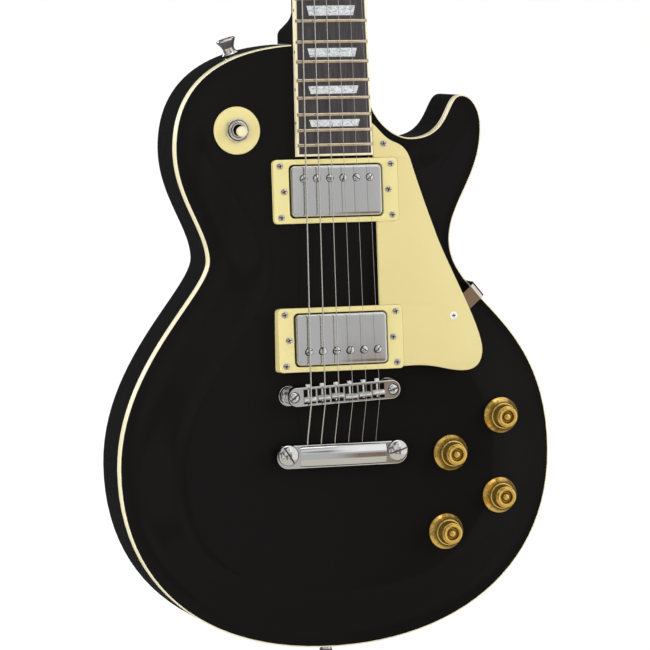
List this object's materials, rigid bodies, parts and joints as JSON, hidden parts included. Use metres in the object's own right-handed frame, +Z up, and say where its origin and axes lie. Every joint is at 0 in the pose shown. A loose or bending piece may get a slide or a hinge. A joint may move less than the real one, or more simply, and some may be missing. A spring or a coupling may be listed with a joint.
{
  "type": "electric guitar",
  "caption": "Solid-body electric guitar with a carved single-cutaway body, two humbucking pickups, a stop tailpiece, an adjustable bridge and geared tuners.",
  "frame": {"origin": "centre of the flat outer face of the end strap button, the lowest point of the guitar", "axes": "+Z up the neck towards the headstock, -Y out of the carved face with the strings, +X towards the cutaway and the treble side"},
  "size_m": [0.3274, 0.1247, 0.9999],
  "materials": {
    "black_gloss": "black gloss lacquer on mahogany",
    "maple_black": "black gloss lacquer on maple",
    "binding_cream": "aged cream plastic",
    "rosewood": "oiled dark rosewood with nickel silver frets",
    "bone": "polished bone",
    "cream_plastic": "satin cream plastic",
    "black_plastic": "matte black plastic",
    "chrome": "mirror chrome",
    "nickel": "nickel plate",
    "steel": "plain steel",
    "gold_knob": "clear plastic over gold paint",
    "bobbin": "black bobbins and magnet"
  },
  "bodies": {
    "root": {"body_back": "black_gloss", "body_binding": "binding_cream", "body_top": "maple_black", "bridge_pickup_ring": "cream_plastic", "control_cover": "black_plastic", "control_plate": "steel", "fretboard": "rosewood", "neck": "black_gloss", "neck_pickup_ring": "cream_plastic", "nut": "bone", "output_jack": "chrome", "pickguard": "cream_plastic", "pickguard_bracket": "nickel", "strap_button_end": "chrome", "strap_button_upper": "chrome", "string_1": "steel", "string_2": "steel", "string_3": "steel", "string_4": "nickel", "string_5": "nickel", "string_6": "nickel", "switch_body": "nickel", "switch_cover": "black_plastic", "switch_ring": "cream_plastic", "tuner_plate_bass": "nickel", "tuner_plate_treble": "nickel"},
    "neck_volume_knob": {"neck_volume_knob": "gold_knob"},
    "bridge_volume_knob": {"bridge_volume_knob": "gold_knob"},
    "neck_tone_knob": {"neck_tone_knob": "gold_knob"},
    "bridge_tone_knob": {"bridge_tone_knob": "gold_knob"},
    "switch_lever": {"switch_lever": "binding_cream"},
    "truss_rod": {"truss_rod": "steel"},
    "bridge": {"bridge_body": "chrome"},
    "bridge_post_bass": {"bridge_post_bass": "chrome"},
    "bridge_post_treble": {"bridge_post_treble": "chrome"},
    "saddle_1": {"saddle_1": "chrome"},
    "saddle_2": {"saddle_2": "chrome"},
    "saddle_3": {"saddle_3": "chrome"},
    "saddle_4": {"saddle_4": "chrome"},
    "saddle_5": {"saddle_5": "chrome"},
    "saddle_6": {"saddle_6": "chrome"},
    "tailpiece": {"tailpiece": "chrome"},
    "tailpiece_stud_bass": {"tailpiece_stud_bass": "chrome"},
    "tailpiece_stud_treble": {"tailpiece_stud_treble": "chrome"},
    "neck_pickup": {"neck_pickup_cover": "chrome", "neck_pickup_core": "bobbin"},
    "bridge_pickup": {"bridge_pickup_cover": "chrome", "bridge_pickup_core": "bobbin"},
    "tuner_button_1": {"tuner_button_1": "nickel"},
    "tuner_post_1": {"tuner_post_1": "nickel"},
    "tuner_button_2": {"tuner_button_2": "nickel"},
    "tuner_post_2": {"tuner_post_2": "nickel"},
    "tuner_button_3": {"tuner_button_3": "nickel"},
    "tuner_post_3": {"tuner_post_3": "nickel"},
    "tuner_button_4": {"tuner_button_4": "nickel"},
    "tuner_post_4": {"tuner_post_4": "nickel"},
    "tuner_button_5": {"tuner_button_5": "nickel"},
    "tuner_post_5": {"tuner_post_5": "nickel"},
    "tuner_button_6": {"tuner_button_6": "nickel"},
    "tuner_post_6": {"tuner_post_6": "nickel"}
  },
  "joints": [
    {"name": "neck_volume_turn", "type": "hinge", "parent": "root", "child": "neck_volume_knob", "pos_m": [0.0845, -0.036, 0.15], "axis": [0, -1, 0], "range_deg": [0, 300]},
    {"name": "bridge_volume_turn", "type": "hinge", "parent": "root", "child": "bridge_volume_knob", "pos_m": [0.1235, -0.036, 0.1755], "axis": [0, -1, 0], "range_deg": [0, 300]},
    {"name": "neck_tone_turn", "type": "hinge", "parent": "root", "child": "neck_tone_knob", "pos_m": [0.0805, -0.036, 0.093], "axis": [0, -1, 0], "range_deg": [0, 300]},
    {"name": "bridge_tone_turn", "type": "hinge", "parent": "root", "child": "bridge_tone_knob", "pos_m": [0.122, -0.036, 0.1173], "axis": [0, -1, 0], "range_deg": [0, 300]},
    {"name": "switch_lever_tilt", "type": "hinge", "parent": "root", "child": "switch_lever", "pos_m": [-0.0711, -0.02499, 0.38497], "axis": [0, 0.0698, 0.9976], "range_deg": [-14, 14]},
    {"name": "truss_rod_turn", "type": "hinge", "parent": "root", "child": "truss_rod", "pos_m": [0, 0.00988, 0.82911], "axis": [0, 0.0698, 0.9976], "range_deg": [-360, 360]},
    {"name": "bridge_height", "type": "slide", "parent": "root", "child": "bridge", "axis": [0, -1, 0], "range_m": [-0.0025, 0.0025]},
    {"name": "bridge_post_bass_turn", "type": "hinge", "parent": "bridge", "child": "bridge_post_bass", "pos_m": [-0.03697, -0.04129, 0.1963], "axis": [0, -1, 0], "range_deg": [-720, 720]},
    {"name": "bridge_post_treble_turn", "type": "hinge", "parent": "bridge", "child": "bridge_post_treble", "pos_m": [0.03697, -0.04129, 0.1992], "axis": [0, -1, 0], "range_deg": [-720, 720]},
    {"name": "saddle_1_slide", "type": "slide", "parent": "bridge", "child": "saddle_1", "axis": [-0.0393, 0, 0.9992], "range_m": [-0.002, 0.0046], "deforming": ["string_1"]},
    {"name": "saddle_2_slide", "type": "slide", "parent": "bridge", "child": "saddle_2", "axis": [-0.0393, 0, 0.9992], "range_m": [-0.0014, 0.0052], "deforming": ["string_2"]},
    {"name": "saddle_3_slide", "type": "slide", "parent": "bridge", "child": "saddle_3", "axis": [-0.0393, 0, 0.9992], "range_m": [-0.0009, 0.0057], "deforming": ["string_3"]},
    {"name": "saddle_4_slide", "type": "slide", "parent": "bridge", "child": "saddle_4", "axis": [-0.0393, 0, 0.9992], "range_m": [-0.0022, 0.0044], "deforming": ["string_4"]},
    {"name": "saddle_5_slide", "type": "slide", "parent": "bridge", "child": "saddle_5", "axis": [-0.0393, 0, 0.9992], "range_m": [-0.0016, 0.005], "deforming": ["string_5"]},
    {"name": "saddle_6_slide", "type": "slide", "parent": "bridge", "child": "saddle_6", "axis": [-0.0393, 0, 0.9992], "range_m": [-0.0011, 0.0055], "deforming": ["string_6"]},
    {"name": "tailpiece_height", "type": "slide", "parent": "root", "child": "tailpiece", "axis": [0, -1, 0], "range_m": [-0.002, 0.002]},
    {"name": "tailpiece_stud_bass_turn", "type": "hinge", "parent": "tailpiece", "child": "tailpiece_stud_bass", "pos_m": [-0.041, -0.03889, 0.155], "axis": [0, -1, 0], "range_deg": [-576, 576]},
    {"name": "tailpiece_stud_treble_turn", "type": "hinge", "parent": "tailpiece", "child": "tailpiece_stud_treble", "pos_m": [0.041, -0.03889, 0.155], "axis": [0, -1, 0], "range_deg": [-576, 576]},
    {"name": "neck_pickup_height", "type": "slide", "parent": "root", "child": "neck_pickup", "axis": [0, -0.9976, 0.0698], "range_m": [-0.003, 0.0012]},
    {"name": "bridge_pickup_height", "type": "slide", "parent": "root", "child": "bridge_pickup", "axis": [0, -0.9976, 0.0698], "range_m": [-0.003, 0.0012]},
    {"name": "tuner_1_wind", "type": "hinge", "parent": "root", "child": "tuner_button_1", "pos_m": [0.026, 0.03, 0.85271], "axis": [1, 0, 0], "continuous": true},
    {"name": "tuner_1_post_turn", "type": "hinge", "parent": "root", "child": "tuner_post_1", "pos_m": [0.024, 0.01426, 0.86771], "axis": [0, -0.9511, 0.309], "continuous": true},
    {"name": "tuner_2_wind", "type": "hinge", "parent": "root", "child": "tuner_button_2", "pos_m": [0.026, 0.04297, 0.89266], "axis": [1, 0, 0], "continuous": true},
    {"name": "tuner_2_post_turn", "type": "hinge", "parent": "root", "child": "tuner_post_2", "pos_m": [0.026, 0.02724, 0.90765], "axis": [0, -0.9511, 0.309], "continuous": true},
    {"name": "tuner_3_wind", "type": "hinge", "parent": "root", "child": "tuner_button_3", "pos_m": [0.026, 0.05595, 0.9326], "axis": [1, 0, 0], "continuous": true},
    {"name": "tuner_3_post_turn", "type": "hinge", "parent": "root", "child": "tuner_post_3", "pos_m": [0.028, 0.04022, 0.9476], "axis": [0, -0.9511, 0.309], "continuous": true},
    {"name": "tuner_4_wind", "type": "hinge", "parent": "root", "child": "tuner_button_4", "pos_m": [-0.026, 0.05595, 0.9326], "axis": [-1, 0, 0], "continuous": true},
    {"name": "tuner_4_post_turn", "type": "hinge", "parent": "root", "child": "tuner_post_4", "pos_m": [-0.028, 0.04022, 0.9476], "axis": [0, -0.9511, 0.309], "continuous": true},
    {"name": "tuner_5_wind", "type": "hinge", "parent": "root", "child": "tuner_button_5", "pos_m": [-0.026, 0.04297, 0.89266], "axis": [-1, 0, 0], "continuous": true},
    {"name": "tuner_5_post_turn", "type": "hinge", "parent": "root", "child": "tuner_post_5", "pos_m": [-0.026, 0.02724, 0.90765], "axis": [0, -0.9511, 0.309], "continuous": true},
    {"name": "tuner_6_wind", "type": "hinge", "parent": "root", "child": "tuner_button_6", "pos_m": [-0.026, 0.03, 0.85271], "axis": [-1, 0, 0], "continuous": true},
    {"name": "tuner_6_post_turn", "type": "hinge", "parent": "root", "child": "tuner_post_6", "pos_m": [-0.024, 0.01426, 0.86771], "axis": [0, -0.9511, 0.309], "continuous": true}
  ],
  "couplings": [
    {"joint": "bridge_post_bass_turn", "follows": "bridge_height", "rad_per_m": 5026.5},
    {"joint": "bridge_post_treble_turn", "follows": "bridge_height", "rad_per_m": 5026.5},
    {"joint": "tailpiece_stud_bass_turn", "follows": "tailpiece_height", "rad_per_m": 5026.5},
    {"joint": "tailpiece_stud_treble_turn", "follows": "tailpiece_height", "rad_per_m": 5026.5},
    {"joint": "tuner_1_post_turn", "follows": "tuner_1_wind", "ratio": 0.066667},
    {"joint": "tuner_2_post_turn", "follows": "tuner_2_wind", "ratio": 0.066667},
    {"joint": "tuner_3_post_turn", "follows": "tuner_3_wind", "ratio": 0.066667},
    {"joint": "tuner_4_post_turn", "follows": "tuner_4_wind", "ratio": -0.066667},
    {"joint": "tuner_5_post_turn", "follows": "tuner_5_wind", "ratio": -0.066667},
    {"joint": "tuner_6_post_turn", "follows": "tuner_6_wind", "ratio": -0.066667}
  ]
}
